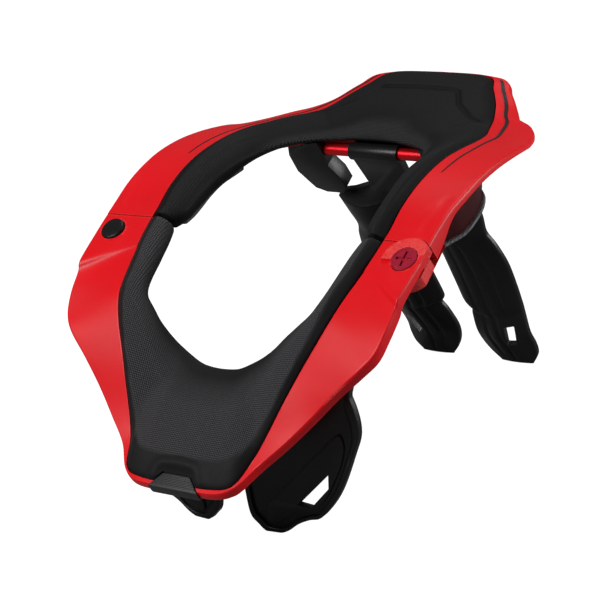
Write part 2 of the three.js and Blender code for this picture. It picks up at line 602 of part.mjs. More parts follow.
place("front_frame", frontFrame, red);
place("rear_frame", rearFrame, red);
place("tongue_left", hingeTongue, red);
place("tongue_right", mirror(hingeTongue), red);
place("front_pad", frontPad, blackPad);
place("rear_pad", rearPad, blackPad);
place("front_tab", tabBody(0), blackPlastic);
place("latch_button", latchButton, blackPlastic);
place("pivot_pin", pivotPin, pinRed);
place("chest_lobe_left", chestLobe, blackPlastic);
place("chest_lobe_right", mirror(chestLobe), blackPlastic);
place("shoulder_shell_left", shoulderShell, darkRed);
place("shoulder_shell_right", mirror(shoulderShell), darkRed);
place("shoulder_pad_left", shoulderPad, greyPad);
place("shoulder_pad_right", mirror(shoulderPad), greyPad);
place("rear_bracket", rearBracket, blackPlastic);
place("red_rod", rodSolid, rodRed);
place("wing_saddle", saddle, blackPlastic);
place("wing_left", wing, blackPlastic);
place("wing_right", mirror(wing), blackPlastic);

// Stand it up, and put the middle of its foot print at the origin
group.rotation.x = rad(STANDING_PITCH_DEG);
group.updateMatrixWorld(true);
const bounds = new THREE.Box3().setFromObject(group, true);
group.position.set(
  -(bounds.min.x + bounds.max.x) / 2,
  -(bounds.min.y + bounds.max.y) / 2,
  -bounds.min.z,
);
group.updateMatrixWorld(true);

export default group;
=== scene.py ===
import math

import bmesh
import bpy
import numpy as np
from mathutils import Matrix, Vector


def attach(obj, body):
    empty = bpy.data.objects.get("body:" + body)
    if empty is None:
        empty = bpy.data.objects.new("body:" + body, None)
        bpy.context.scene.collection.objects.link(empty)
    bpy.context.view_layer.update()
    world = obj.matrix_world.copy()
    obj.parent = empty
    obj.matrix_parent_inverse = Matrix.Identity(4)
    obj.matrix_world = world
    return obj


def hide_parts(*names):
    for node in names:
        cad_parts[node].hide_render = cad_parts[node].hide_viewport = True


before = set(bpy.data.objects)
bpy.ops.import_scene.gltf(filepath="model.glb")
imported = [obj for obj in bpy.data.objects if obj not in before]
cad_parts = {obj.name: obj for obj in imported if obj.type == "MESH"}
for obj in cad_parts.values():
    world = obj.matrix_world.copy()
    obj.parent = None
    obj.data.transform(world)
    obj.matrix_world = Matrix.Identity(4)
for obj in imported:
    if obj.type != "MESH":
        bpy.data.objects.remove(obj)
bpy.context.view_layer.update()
scene = bpy.context.scene

# Sizes in millimetres, in the frame of the two side pivots, as in the part's source
MM = 0.001
PITCH = math.radians(33)
SHIFT = np.array([0.0, -67.94007, 160.60001])
PIVOT_HALF = 106.0
CHEST_LENGTH = 156.0
CHEST_DROP = 41.0
BACK_LENGTH = 201.0
BACK_DROP = 87.0
GAP = 0.4
KEEP_OUT = 0.8
WALL = 5.0
PLATE = 4.0
SEAT = 4.0
INNER_SET = 8.0
WALL_WIDTH = 3.5
RIM_BEVEL = 1.2
PARTING_GAP = 0.8
PARTING = {"hole": 14.5, "edge": 13.7, "rim": 10.9}
LUG_RADIUS = 15.5
LUG_DEPTH = 6.0
LUG_TOP = -0.4
TONGUE_RADIUS = 13.0
TONGUE_BOTTOM = -14.7
TONGUE_REACH = 22.0
BUTTON_RADIUS = 7.5
BUTTON_TOP = 0.6
BUTTON_LENGTH = 4.2
PIN_RADIUS = 8.0
PIN_TOP = 0.3
PIN_LENGTH = 13.5
CROSS_REACH = 5.2
CROSS_HALF = 0.9
CROSS_DEPTH = 1.5
PAD_LIFT = 5.0
PAD_DEPTH = 9.0
PAD_PROUD = 0.6
ROWS_FINE = 8
ROWS_PAD = 4
CLEAR_ABOVE = 40
TONGUE_ROOM = 8
SWELL_PRESSURE = 4
SWELL_FRAMES = 20
SWELL_CAP = 0.9 * MM

# Shares of the named sizes, the same tables as the part's source.
# Columns: hole X Y Z, edge X Y Z, rim X Y Z, wall, lift, depth
FRONT_SECTIONS = np.array([
    [0, 0.529, -0.683, 0, 1.003, -0.985, 0, 1, -1, 1.2, 0.5, 0.889],
    [0.066, 0.527, -0.676, 0.226, 1.002, -0.99, 0.255, 1, -1, 1.2, 0.5, 0.889],
    [0.132, 0.52, -0.659, 0.362, 0.97, -0.995, 0.376, 0.957, -1, 1.2, 0.6, 0.889],
    [0.226, 0.498, -0.585, 0.423, 0.855, -0.941, 0.472, 0.859, -0.956, 1.2, 0.7, 0.889],
    [0.33, 0.466, -0.463, 0.476, 0.765, -0.793, 0.594, 0.772, -0.837, 1.2, 0.8, 1],
    [0.425, 0.427, -0.305, 0.542, 0.662, -0.576, 0.726, 0.679, -0.668, 1.2, 0.9, 1],
    [0.5, 0.382, -0.22, 0.604, 0.566, -0.39, 0.858, 0.593, -0.449, 1.3, 1, 1],
    [0.557, 0.347, -0.159, 0.671, 0.469, -0.21, 0.987, 0.516, -0.268, 1.4, 1, 1],
    [0.587, 0.309, -0.122, 0.722, 0.374, -0.085, 1.052, 0.452, -0.195, 1.5, 1, 1],
    [0.604, 0.257, -0.122, 0.748, 0.278, -0.059, 1.077, 0.369, -0.102, 1.6, 1, 1],
    [0.615, 0.18, -0.129, 0.775, 0.163, -0.073, 1.087, 0.282, -0.037, 1.6, 1, 1],
    [0.621, 0.141, -0.134, 0.782, 0.13, -0.063, 1.094, 0.237, 0.029, 1.5, 1, 1],
    [0.632, 0.077, -0.146, 0.791, 0.075, -0.068, 1.106, 0.093, 0, 1.2, 1, 1],
    [0.66, 0, -0.171, 0.799, 0, -0.083, 1.106, 0, -0.013, 1.2, 1, 1],
])
REAR_SECTIONS = np.array([
    [0.66, 0, -0.08, 0.799, 0, -0.039, 1.108, 0, -0.006, 2.6, 1, 1],
    [0.623, 0.04, -0.092, 0.802, 0.044, -0.045, 1.109, 0.053, -0.014, 2.2, 1, 1.111],
    [0.613, 0.105, -0.115, 0.804, 0.119, -0.044, 1.115, 0.133, -0.033, 1.2, 1, 1.222],
    [0.604, 0.175, -0.149, 0.806, 0.203, -0.075, 1.125, 0.217, -0.084, 1, 1, 1.222],
    [0.585, 0.244, -0.195, 0.805, 0.288, -0.138, 1.125, 0.302, -0.152, 1, 1, 1.222],
    [0.566, 0.314, -0.264, 0.799, 0.378, -0.239, 1.117, 0.392, -0.257, 1, 1, 1],
    [0.547, 0.374, -0.345, 0.799, 0.457, -0.356, 1.097, 0.481, -0.393, 1, 1, 0.778],
    [0.509, 0.433, -0.425, 0.792, 0.527, -0.474, 1.062, 0.561, -0.538, 1, 0.9, 0.667],
    [0.443, 0.483, -0.506, 0.769, 0.587, -0.575, 1.017, 0.61, -0.644, 1, 0.8, 0.556],
    [0.358, 0.515, -0.563, 0.708, 0.651, -0.678, 0.953, 0.678, -0.761, 1, 0.7, 0.5],
    [0.264, 0.533, -0.592, 0.628, 0.726, -0.806, 0.858, 0.747, -0.856, 1, 0.6, 0.5],
    [0.189, 0.54, -0.598, 0.585, 0.773, -0.856, 0.741, 0.785, -0.887, 1, 0.6, 0.5],
    [0.132, 0.543, -0.598, 0.533, 0.83, -0.892, 0.656, 0.844, -0.943, 1, 0.6, 0.5],
    [0.085, 0.543, -0.598, 0.448, 0.9, -0.929, 0.552, 0.919, -0.966, 1, 0.6, 0.5],
    [0.038, 0.543, -0.598, 0.344, 0.97, -0.97, 0.429, 0.984, -0.989, 1, 0.6, 0.5],
    [0, 0.543, -0.598, 0, 0.976, -0.961, 0, 1, -1, 1, 0.6, 0.5],
])
# Columns: y, shell X, shell Z, inner X, inner Z
SHOULDER_SECTIONS = np.array([
    [0.128, 0.901, -0.437, 0.792, -0.253],
    [0.163, 0.911, -0.476, 0.755, -0.253],
    [0.222, 0.944, -0.538, 0.717, -0.276],
    [0.282, 0.951, -0.57, 0.708, -0.31],
    [0.342, 0.939, -0.6, 0.708, -0.368],
    [0.392, 0.9, -0.628, 0.726, -0.437],
    [0.416, 0.863, -0.628, 0.755, -0.506],
])
# Columns: side, up
LOBE_OUTLINE = np.array([
    [0.277, 0.004], [0.347, 0.03], [0.419, 0.085], [0.492, 0.121], [0.562, 0.142], [0.63, 0.213],
    [0.693, 0.304], [0.747, 0.413], [0.812, 0.575], [0.854, 0.687], [0.861, 0.775], [0.848, 0.861],
    [0.826, 0.939], [0.79, 1.05], [0.246, 0.983], [0.137, 0.859], [0.099, 0.641], [0.089, 0.424],
    [0.094, 0.286], [0.111, 0.117], [0.157, 0.052], [0.207, 0.008],
])
LOBE_SLOT = np.array([[0.644, 0.438], [0.636, 0.346], [0.512, 0.206], [0.433, 0.218]])
LOBE = {
    "slope": math.radians(56), "turn": math.radians(5), "y": -130.3, "z": -108.2,
    "height": 97.0, "thickness": 5.0,
}
# Columns: down, in X, out X, lean, bulge
WING_SECTIONS = np.array([
    [0.24, 0.18, 0.955, 0.1, 0.889],
    [0.303, 0.171, 0.928, 0.04, 1],
    [0.363, 0.162, 0.892, -0.08, 1],
    [0.414, 0.159, 0.951, -0.19, 1],
    [0.499, 0.155, 1, -0.36, 1],
    [0.602, 0.151, 0.982, -0.56, 1],
    [0.69, 0.15, 0.948, -0.73, 0.944],
    [0.713, 0.22, 0.937, -0.79, 0.889],
    [0.75, 0.18, 0.915, -0.85, 0.833],
    [0.825, 0.137, 0.876, -1.01, 0.667],
    [0.876, 0.162, 0.894, -1.15, 0.5],
    [0.919, 0.234, 0.879, -1.31, 0.333],
    [0.951, 0.333, 0.802, -1.48, 0.167],
    [0.979, 0.414, 0.721, -1.63, 0.067],
])
WING = {"length": 208.0, "half": 55.5, "lean": 10.0, "bulge": 9.0, "thickness": 4.0}
ROD_Y = 123.04
ROD_Z = -63.03
ROD_RADIUS = 3.75
ROD_HALF = 47.0
SLEEVE_HALF = 19.0
SLEEVE_RADIUS = 6.5
SHELL_THICKNESS = 3.0
SHELL_FLARE = 2.0
SHOULDER_TOP = -8.0
STRIP_DEPTH = 2.4
STRIP_PROUD = 1.4


# Points and frames
def to_row(points):
    p = np.asarray(points, float)
    c, s = math.cos(PITCH), math.sin(PITCH)
    out = np.stack([p[:, 0], c * p[:, 1] - s * p[:, 2], s * p[:, 1] + c * p[:, 2]], 1)
    return (out + SHIFT) * MM


def to_pin(points):
    q = np.asarray(points, float) / MM - SHIFT
    c, s = math.cos(PITCH), math.sin(PITCH)
    return np.stack([q[:, 0], c * q[:, 1] + s * q[:, 2], -s * q[:, 1] + c * q[:, 2]], 1)


def refine(table, steps):
    out = []
    last = len(table) - 1
    for i in range(last):
        a, b, c, d = table[max(i - 1, 0)], table[i], table[i + 1], table[min(i + 2, last)]
        start, end = (c - a) / 2, (d - b) / 2
        cubic = 2 * b - 2 * c + start + end
        square = -3 * b + 3 * c - 2 * start - end
        for k in range(steps):
            t = k / steps
            out.append(((cubic * t + square) * t + start) * t + b)
    out.append(table[last])
    return np.array(out)


def half_rows(table, side, length, drop, steps):
    """Rows of the half ring in millimetres, refined on a smooth curve."""
    rows = []
    for r in table:
        row = []
        for k, place in enumerate(("hole", "edge", "rim")):
            x, y, z = r[3 * k:3 * k + 3]
            row += [x * PIVOT_HALF, PARTING[place] + side * (PARTING_GAP / 2 + y * length), z * drop]
        rows.append(row + [r[9] * WALL, r[10] * PAD_LIFT, r[11] * PAD_DEPTH])
    return refine(np.array(rows), steps)


def lower(p, depth):
    return np.array([p[0], p[1], p[2] - depth])


def toward(a, b, distance):
    return a + (b - a) / np.linalg.norm(b - a) * distance


def rounded(points, radii, steps):
    """Replaces each corner by a short curve. The count of points is the same for every section."""
    out = []
    n = len(points)
    for i in range(n):
        p, before, after = points[i], points[i - 1], points[(i + 1) % n]
        if radii[i] <= 0:
            out.append(p)
            continue
        to_before, to_after = np.linalg.norm(before - p), np.linalg.norm(after - p)
        reach = min(radii[i], 0.46 * to_before, 0.46 * to_after)
        a = p + (before - p) / max(to_before, 1e-6) * reach
        b = p + (after - p) / max(to_after, 1e-6) * reach
        for k in range(steps + 1):
            t = k / steps
            out.append((1 - t) ** 2 * a + 2 * t * (1 - t) * p + t * t * b)
    return np.array(out)


def resample(path, count):
    path = np.asarray(path)
    run = np.concatenate([[0], np.cumsum(np.linalg.norm(np.diff(path, axis=0), axis=1))])
    at = np.linspace(0, run[-1], count)
    return np.stack([np.interp(at, run, path[:, k]) for k in range(3)], 1)


def frame_corners(r, grow=0.0, lift=0.0):
    hole, border, outer, wall = r[0:3], r[3:6], r[6:9], r[9]
    inner = toward(hole, border, INNER_SET - grow)
    span = np.linalg.norm(outer - border)
    under = toward(outer, border, min(WALL_WIDTH, span / 2))
    wide = toward(border, outer, span + grow) if grow > 0 else outer
    return np.array([
        lower(inner, SEAT - lift), lower(border, SEAT - lift), lower(border, -lift),
        lower(toward(wide, border, RIM_BEVEL / 2), -lift), lower(wide, RIM_BEVEL - lift),
        lower(wide, wall + grow), lower(under, wall + grow), lower(under, PLATE + grow),
        lower(border, SEAT + PLATE + grow), lower(inner, SEAT + PLATE + grow),
    ])


FACE_STEPS = 12
FRAME_RADII = [0, 0, 0.5] + [0] * FACE_STEPS + [0.7, 0.9, 0.9, 0.6, 0, 0, 0]


def frame_section(r):
    """The open face gets points of its own, so that dents can be pressed into it."""
    corners = frame_corners(r)
    across = np.linspace(0.04, 0.96, FACE_STEPS)[:, None]
    face = corners[2] + (corners[3] - corners[2]) * across
    return rounded(np.concatenate([corners[:3], face, corners[3:]]), FRAME_RADII, 3)


CHAMFER = 5.5


def front_share(border):
    """1 at the middle of the chest, 0 from the side on."""
    return min(max((-border[1] - 112) / 26, 0), 1)


def pad_section(r, top_count=26, under_count=8):
    """Points of the top path from the border to the lip, then of the hidden path back."""
    opening, border, depth = r[0:3], r[3:6], r[11]
    front = front_share(border)
    lift = r[10] * (1 + 0.7 * front)
    slope = CHAMFER + 6 * front
    span = np.linalg.norm(border - opening)
    side = GAP / span

    def at(share, height):
        return lower(opening + (border - opening) * share, -height)

    def inward(distance, drop):
        return lower(toward(opening, border, distance), drop)

    top = np.array([
        at(1 - side, -SEAT + GAP), at(1 - side, PAD_PROUD), at(1 - slope / span, lift * 0.95),
        at(0.58, lift), at(0.36, lift * 0.98), at(0.14, lift / 2),
        inward(0, 0), inward(1.5, depth * 0.65), inward(4, depth),
    ])
    top = smooth_path(top, [0, 0.5, 2.2, 9, 9, 9, 9, 9, 0], 5)
    under = np.array([top[-1], inward(INNER_SET - GAP, depth), inward(INNER_SET - GAP, SEAT - GAP), top[0]])
    return np.concatenate([resample(top, top_count), resample(under, under_count)[1:-1]])


def smooth_path(points, radii, steps):
    out = [points[0]]
    for i in range(1, len(points) - 1):
        p, before, after = points[i], points[i - 1], points[i + 1]
        reach = min(radii[i], 0.48 * np.linalg.norm(before - p), 0.48 * np.linalg.norm(after - p))
        a, b = toward(p, before, reach), toward(p, after, reach)
        for k in range(steps + 1):
            t = k / steps
            out.append((1 - t) ** 2 * a + 2 * t * (1 - t) * p + t * t * b)
    out.append(points[-1])
    return np.array(out)


def both_sides(rows, section):
    """Sections from the wearer's right over the middle to the left."""
    if abs(rows[0][0]) > 1e-6:
        rows = rows[::-1]
    right = [section(r) for r in rows]
    left = [s * np.array([-1, 1, 1]) for s in right[1:][::-1]]
    return left + right


# Meshes
def new_object(name, mesh):
    obj = bpy.data.objects.new(name, mesh)
    scene.collection.objects.link(obj)
    return obj


def mesh_from(name, verts, faces, values=None):
    mesh = bpy.data.meshes.new(name)
    mesh.from_pydata(to_row(verts).tolist(), [], faces)
    for key, data in (values or {}).items():
        attribute = mesh.attributes.new(key, "FLOAT", "POINT")
        attribute.data.foreach_set("value", np.asarray(data, np.float32))
    mesh.update()
    return mesh


def loft(name, sections, values=None):
    sections = np.array(sections)
    rows, count = sections.shape[:2]
    faces = []
    for i in range(rows - 1):
        for j in range(count):
            a, b = i * count + j, i * count + (j + 1) % count
            faces.append((a, b, b + count, a + count))
    faces.append(tuple(range(count))[::-1])
    faces.append(tuple((rows - 1) * count + j for j in range(count)))
    obj = new_object(name, mesh_from(name, sections.reshape(-1, 3), faces, values))
    fix_normals(obj)
    return obj


def fix_normals(obj):
    bm = bmesh.new()
    bm.from_mesh(obj.data)
    bmesh.ops.recalc_face_normals(bm, faces=bm.faces)
    bm.to_mesh(obj.data)
    bm.free()


def coords(obj):
    out = np.empty(len(obj.data.vertices) * 3)
    obj.data.vertices.foreach_get("co", out)
    return out.reshape(-1, 3)


def set_coords(obj, points):
    obj.data.vertices.foreach_set("co", np.asarray(points, np.float32).ravel())
    obj.data.update()


def apply_modifiers(obj):
    depsgraph = bpy.context.evaluated_depsgraph_get()
    mesh = bpy.data.meshes.new_from_object(obj.evaluated_get(depsgraph))
    old = obj.data
    obj.modifiers.clear()
    obj.data = mesh
    mesh.name = obj.name
    bpy.data.meshes.remove(old)


def subdivide(obj, levels):
    mod = obj.modifiers.new("smooth", "SUBSURF")
    mod.levels = levels
    mod.render_levels = levels
    apply_modifiers(obj)


def combine(obj, other, operation):
    mod = obj.modifiers.new(operation, "BOOLEAN")
    mod.operation = operation
    mod.solver = "EXACT"
    mod.object = other
    apply_modifiers(obj)
    bpy.data.objects.remove(other)


def shade(obj, angle=32):
    obj.data.polygons.foreach_set("use_smooth", [True] * len(obj.data.polygons))
    obj.data.set_sharp_from_angle(angle=math.radians(angle))
    obj.data.update()


def join(name, objects):
    """One object of several meshes."""
    bm = bmesh.new()
    for obj in objects:
        bm.from_mesh(obj.data)
    mesh = bpy.data.meshes.new(name)
    bm.to_mesh(mesh)
    bm.free()
    for obj in objects:
        bpy.data.objects.remove(obj)
    return new_object(name, mesh)


def mirrored(obj, name):
    mesh = obj.data.copy()
    mesh.name = name
    copy = new_object(name, mesh)
    points = coords(copy)
    points[:, 0] *= -1
    set_coords(copy, points)
    mesh.flip_normals()
    return copy


def turned(name, profile, centre, axis="z", steps=64):
    """A solid of revolution. profile: radius and height pairs, from the axis round to the axis."""
    verts, faces = [], []
    count = len(profile)
    for k in range(steps):
        a = 2 * math.pi * k / steps
        for radius, height in profile:
            u, v = radius * math.cos(a), radius * math.sin(a)
            offset = (u, v, height) if axis == "z" else (height, u, v)
            verts.append(np.array(centre) + offset)
    for k in range(steps):
        m = (k + 1) % steps
        for j in range(count - 1):
            faces.append((k * count + j, m * count + j, m * count + j + 1, k * count + j + 1))
    obj = new_object(name, mesh_from(name, verts, faces))
    bm = bmesh.new()
    bm.from_mesh(obj.data)
    bmesh.ops.remove_doubles(bm, verts=bm.verts, dist=1e-7)
    bmesh.ops.recalc_face_normals(bm, faces=bm.faces)
    bm.to_mesh(obj.data)
    bm.free()
    return obj


def block(x0, x1, y0, y1, z0, z1):
    verts = [(x, y, z) for z in (z0, z1) for y in (y0, y1) for x in (x0, x1)]
    faces = [(0, 2, 3, 1), (4, 5, 7, 6), (0, 1, 5, 4), (2, 6, 7, 3), (0, 4, 6, 2), (1, 3, 7, 5)]
    return new_object("block", mesh_from("block", verts, faces))


def near_line(points, line):
    """Distance in the plan of the pivots from each point to a polyline, and how far along it lies."""
    line = np.asarray(line, float)
    best = np.full(len(points), 1e9)
    along = np.zeros(len(points))
    run = 0.0
    for a, b in zip(line[:-1], line[1:]):
        d = b - a
        length = np.linalg.norm(d)
        t = np.clip(((points[:, :2] - a) @ d) / length ** 2, 0, 1)
        dist = np.linalg.norm(points[:, :2] - (a + t[:, None] * d), axis=1)
        closer = dist < best
        best[closer] = dist[closer]
        along[closer] = run + t[closer] * length
        run += length
    return best, along, run


def carve(obj, line, width, depth, fade=6.0, facing=0.15):
    """Presses a groove, or raises a ridge when depth is negative, into the upper side of a piece."""
    points = to_pin(coords(obj))
    normals = np.empty(len(points) * 3)
    obj.data.vertices.foreach_get("normal", normals)
    normals = normals.reshape(-1, 3)
    up = normals @ np.array([0, -math.sin(PITCH), math.cos(PITCH)])
    dist, along, run = near_line(points, line)
    ends = np.clip(np.minimum(along, run - along) / fade, 0, 1) if fade > 0 else 1.0
    push = np.exp(-(dist / width) ** 2) * depth * ends * np.clip((up - facing) * 4, 0, 1)
    moved = points - (normals_in_pin(normals)) * push[:, None]
    set_coords(obj, to_row(moved))


def normals_in_pin(normals):
    c, s = math.cos(PITCH), math.sin(PITCH)
    return np.stack([
        normals[:, 0], c * normals[:, 1] + s * normals[:, 2], -s * normals[:, 1] + c * normals[:, 2],
    ], 1)


def swell(obj, pinned, cap):
    """Blows a pad up a little with the cloth solver. The pinned points are held, none moves past the cap."""
    before = coords(obj)
    group = obj.vertex_groups.new(name="held")
    group.add([int(i) for i in pinned], 1.0, "REPLACE")
    mod = obj.modifiers.new("swell", "CLOTH")
    mod.settings.vertex_group_mass = "held"
    mod.settings.use_pressure = True
    mod.settings.uniform_pressure_force = SWELL_PRESSURE
    mod.settings.effector_weights.gravity = 0
    mod.settings.quality = 5
    mod.point_cache.frame_start = 1
    mod.point_cache.frame_end = SWELL_FRAMES
    for number in range(1, SWELL_FRAMES + 1):
        scene.frame_set(number)
    depsgraph = bpy.context.evaluated_depsgraph_get()
    blown = obj.evaluated_get(depsgraph).data
    after = np.empty(len(before) * 3)
    blown.vertices.foreach_get("co", after)
    move = after.reshape(-1, 3) - before
    obj.modifiers.clear()
    obj.vertex_groups.clear()
    scene.frame_set(1)
    size = np.linalg.norm(move, axis=1)
    move *= (np.minimum(size, cap) / np.maximum(size, 1e-9))[:, None]
    set_coords(obj, before + move)


# Materials
def tree_of(name):
    material = bpy.data.materials.new(name)
    material.use_nodes = True
    tree = material.node_tree
    return material, tree, tree.nodes["Principled BSDF"]


def math_node(tree, operation, a, b=None, clamp=False):
    out = tree.nodes.new("ShaderNodeMath")
    out.operation = operation
    out.use_clamp = clamp
    for k, value in enumerate((a, b)):
        if value is None:
            continue
        if isinstance(value, bpy.types.NodeSocket):
            tree.links.new(value, out.inputs[k])
        else:
            out.inputs[k].default_value = value
    return out.outputs[0]


def place_of(tree, turn=True):
    """Millimetres in the frame of the pivots."""
    source = tree.nodes.new("ShaderNodeTexCoord").outputs["Object"]
    mapping = tree.nodes.new("ShaderNodeMapping")
    tree.links.new(source, mapping.inputs["Vector"])
    mapping.inputs["Scale"].default_value = (1000, 1000, 1000)
    if turn:
        mapping.inputs["Rotation"].default_value = (-PITCH, 0, 0)
    return mapping.outputs[0]


def noise(tree, vector, scale, detail=3.0, roughness=0.55):
    out = tree.nodes.new("ShaderNodeTexNoise")
    tree.links.new(vector, out.inputs["Vector"])
    out.inputs["Scale"].default_value = scale
    out.inputs["Detail"].default_value = detail
    out.inputs["Roughness"].default_value = roughness
    return out.outputs["Fac"]


def ramp(tree, value, low, high, a, b):
    """Maps value from low..high to a..b."""
    out = tree.nodes.new("ShaderNodeMapRange")
    tree.links.new(value, out.inputs["Value"])
    out.inputs["From Min"].default_value = low
    out.inputs["From Max"].default_value = high
    out.inputs["To Min"].default_value = a
    out.inputs["To Max"].default_value = b
    return out.outputs["Result"]


def mix_colour(tree, factor, a, b):
    out = tree.nodes.new("ShaderNodeMix")
    out.data_type = "RGBA"
    for socket, value in ((out.inputs[0], factor), (out.inputs[6], a), (out.inputs[7], b)):
        if isinstance(value, bpy.types.NodeSocket):
            tree.links.new(value, socket)
        elif isinstance(value, tuple):
            socket.default_value = (*value, 1)
        else:
            socket.default_value = value
    return out.outputs[2]


def bump(tree, shader, height, distance, strength=1.0):
    out = tree.nodes.new("ShaderNodeBump")
    out.inputs["Strength"].default_value = strength
    out.inputs["Distance"].default_value = distance
    tree.links.new(height, out.inputs["Height"])
    tree.links.new(out.outputs[0], shader.inputs["Normal"])


def plastic(name, base, edge_colour, rough, grain=0.00004, coat=0.0, specular=0.5):
    """Moulded plastic: faint colour clouds, fine grain, a paler colour in patches on the sharp edges."""
    material, tree, shader = tree_of(name)
    place = place_of(tree)
    clouds = noise(tree, place, 0.03, 2.0)
    fine = noise(tree, place, 3.5, 3.0)
    edges = tree.nodes.new("ShaderNodeNewGeometry").outputs["Pointiness"]
    on_edges = ramp(tree, edges, 0.52, 0.6, 0, 0.6)
    # Patches of a paler colour on sharp edges, where both the edge finding and the noise allow them.
    pale_edge_patches = math_node(tree, "MULTIPLY", on_edges, ramp(tree, fine, 0.45, 0.65, 0, 1), True)
    dark = tuple(0.9 * c for c in base)
    light = tuple(min(1.0, 1.08 * c) for c in base)
    colour = mix_colour(tree, clouds, dark, light)
    tree.links.new(mix_colour(tree, pale_edge_patches, colour, edge_colour), shader.inputs["Base Color"])
    tree.links.new(ramp(tree, fine, 0.3, 0.7, rough - 0.05, rough + 0.06), shader.inputs["Roughness"])
    shader.inputs["Coat Weight"].default_value = coat
    shader.inputs["Coat Roughness"].default_value = 0.2
    shader.inputs["Specular IOR Level"].default_value = specular
    bump(tree, shader, fine, grain)
    return material


def weave(tree, place, pitch):
    """Little diamonds, one per thread crossing."""
    parts = tree.nodes.new("ShaderNodeSeparateXYZ")
    tree.links.new(place, parts.inputs[0])
    k = math.pi / pitch
    a = math_node(tree, "MULTIPLY", math_node(tree, "ADD", parts.outputs[0], parts.outputs[1]), k)
    b = math_node(tree, "MULTIPLY", math_node(tree, "SUBTRACT", parts.outputs[0], parts.outputs[1]), k)
    return math_node(tree, "MULTIPLY", math_node(tree, "SINE", a), math_node(tree, "SINE", b))


def pad_material(name, base, pitch, depth, masked=True, sheen=0.15, crown_highlight_gain=1.7):
    """Moulded foam skin: a woven field and smooth borders, told apart by the value stored on the piece."""
    material, tree, shader = tree_of(name)
    place = place_of(tree)
    threads = weave(tree, place, pitch)
    fine = noise(tree, place, 1.4, 4.0)
    clouds = noise(tree, place, 0.05, 2.0)
    if masked:
        stored = tree.nodes.new("ShaderNodeAttribute")
        stored.attribute_name = "weave"
        mask = ramp(tree, stored.outputs["Fac"], 0.1, 0.9, 0, 1)
        threads = math_node(tree, "MULTIPLY", threads, mask)
    height = math_node(tree, "ADD", threads, math_node(tree, "MULTIPLY", fine, 0.25))
    smooth = tuple(0.2 * c for c in base)
    # The weave pattern and its bump are real; the darker thread valleys are painted shade and the paler
    # thread crowns are painted highlight.
    valley_shade, crown_highlight = tuple(0.45 * c for c in base), tuple(crown_highlight_gain * c for c in base)
    woven = mix_colour(tree, ramp(tree, threads, -0.6, 0.9, 0, 1), valley_shade, crown_highlight)
    flat = mix_colour(tree, clouds, smooth, tuple(0.3 * c for c in base))
    colour = mix_colour(tree, mask, flat, woven) if masked else woven
    tree.links.new(colour, shader.inputs["Base Color"])
    tree.links.new(ramp(tree, fine, 0.3, 0.7, 0.55, 0.72), shader.inputs["Roughness"])
    shader.inputs["Sheen Weight"].default_value = sheen
    shader.inputs["Sheen Roughness"].default_value = 0.4
    shader.inputs["Specular IOR Level"].default_value = 0.16
    bump(tree, shader, height, depth)
    return material


RED = (0.74, 0.002, 0.007)
red_plastic = plastic("red_plastic", RED, (0.95, 0.25, 0.22), 0.4, coat=0.04, specular=0.25)
# The shoulder shells are red plastic like the frame; this near-black red is painted shade, for faces that
# turn down and away from the light.
shell_red_painted_shade = plastic("shell_red_painted_shade", (0.03, 0.0, 0.001), (0.15, 0.02, 0.02), 0.45, specular=0.12)
black_plastic = plastic("black_plastic", (0.006, 0.006, 0.0065), (0.06, 0.06, 0.06), 0.3, specular=0.25)
tab_plastic = plastic("tab_plastic", (0.011, 0.011, 0.012), (0.1, 0.1, 0.1), 0.5)
front_skin = pad_material("front_skin", (0.026, 0.025, 0.027), 1.15, 0.0003, sheen=0.06, crown_highlight_gain=3.0)
# The rear pad has the same foam skin as the front pad; its darker base colour is painted shade, for a pad
# that gets less light.
rear_skin_painted_shade = pad_material("rear_skin_painted_shade", (0.009, 0.009, 0.0095), 1.3, 0.0003, sheen=0.01, crown_highlight_gain=4.5)
foam_skin = pad_material("foam_skin", (0.12, 0.12, 0.13), 0.9, 0.0002, masked=False)


def pin_material():
    material, tree, shader = tree_of("pin_plastic")
    place = place_of(tree)
    clouds = noise(tree, place, 0.3, 2.0)
    colour = mix_colour(tree, clouds, (0.3, 0.004, 0.02), (0.42, 0.008, 0.035))
    tree.links.new(colour, shader.inputs["Base Color"])
    tree.links.new(ramp(tree, clouds, 0.3, 0.7, 0.12, 0.2), shader.inputs["Roughness"])
    shader.inputs["Coat Weight"].default_value = 0.8
    shader.inputs["Coat Roughness"].default_value = 0.08
    bump(tree, shader, noise(tree, place, 1.6, 2.0), 0.00003)
    return material


def rod_material():
    material, tree, shader = tree_of("rod_metal")
    place = place_of(tree)
    fine = noise(tree, place, 0.06, 1.0)
    colour = mix_colour(tree, fine, (0.66, 0.006, 0.012), (0.74, 0.012, 0.02))
    tree.links.new(colour, shader.inputs["Base Color"])
    tree.links.new(ramp(tree, fine, 0.3, 0.7, 0.3, 0.38), shader.inputs["Roughness"])
    shader.inputs["Metallic"].default_value = 0.75
    bump(tree, shader, fine, 0.00002)
    return material


pin_plastic = pin_material()
rod_metal = rod_material()


def dress(obj, material, body, replaced, angle=32):
    obj.data.materials.clear()
    obj.data.materials.append(material)
    shade(obj, angle)
    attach(obj, body)
    if replaced:
        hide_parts(*replaced)
    return obj


# Hard frame
front_fine = half_rows(FRONT_SECTIONS, -1, CHEST_LENGTH, CHEST_DROP, ROWS_FINE)
rear_fine = half_rows(REAR_SECTIONS, 1, BACK_LENGTH, BACK_DROP, ROWS_FINE)
front_coarse = half_rows(FRONT_SECTIONS, -1, CHEST_LENGTH, CHEST_DROP, ROWS_PAD)
rear_coarse = half_rows(REAR_SECTIONS, 1, BACK_LENGTH, BACK_DROP, ROWS_PAD)
LUG_OUTER = PIVOT_HALF * 1.1 + 0.7


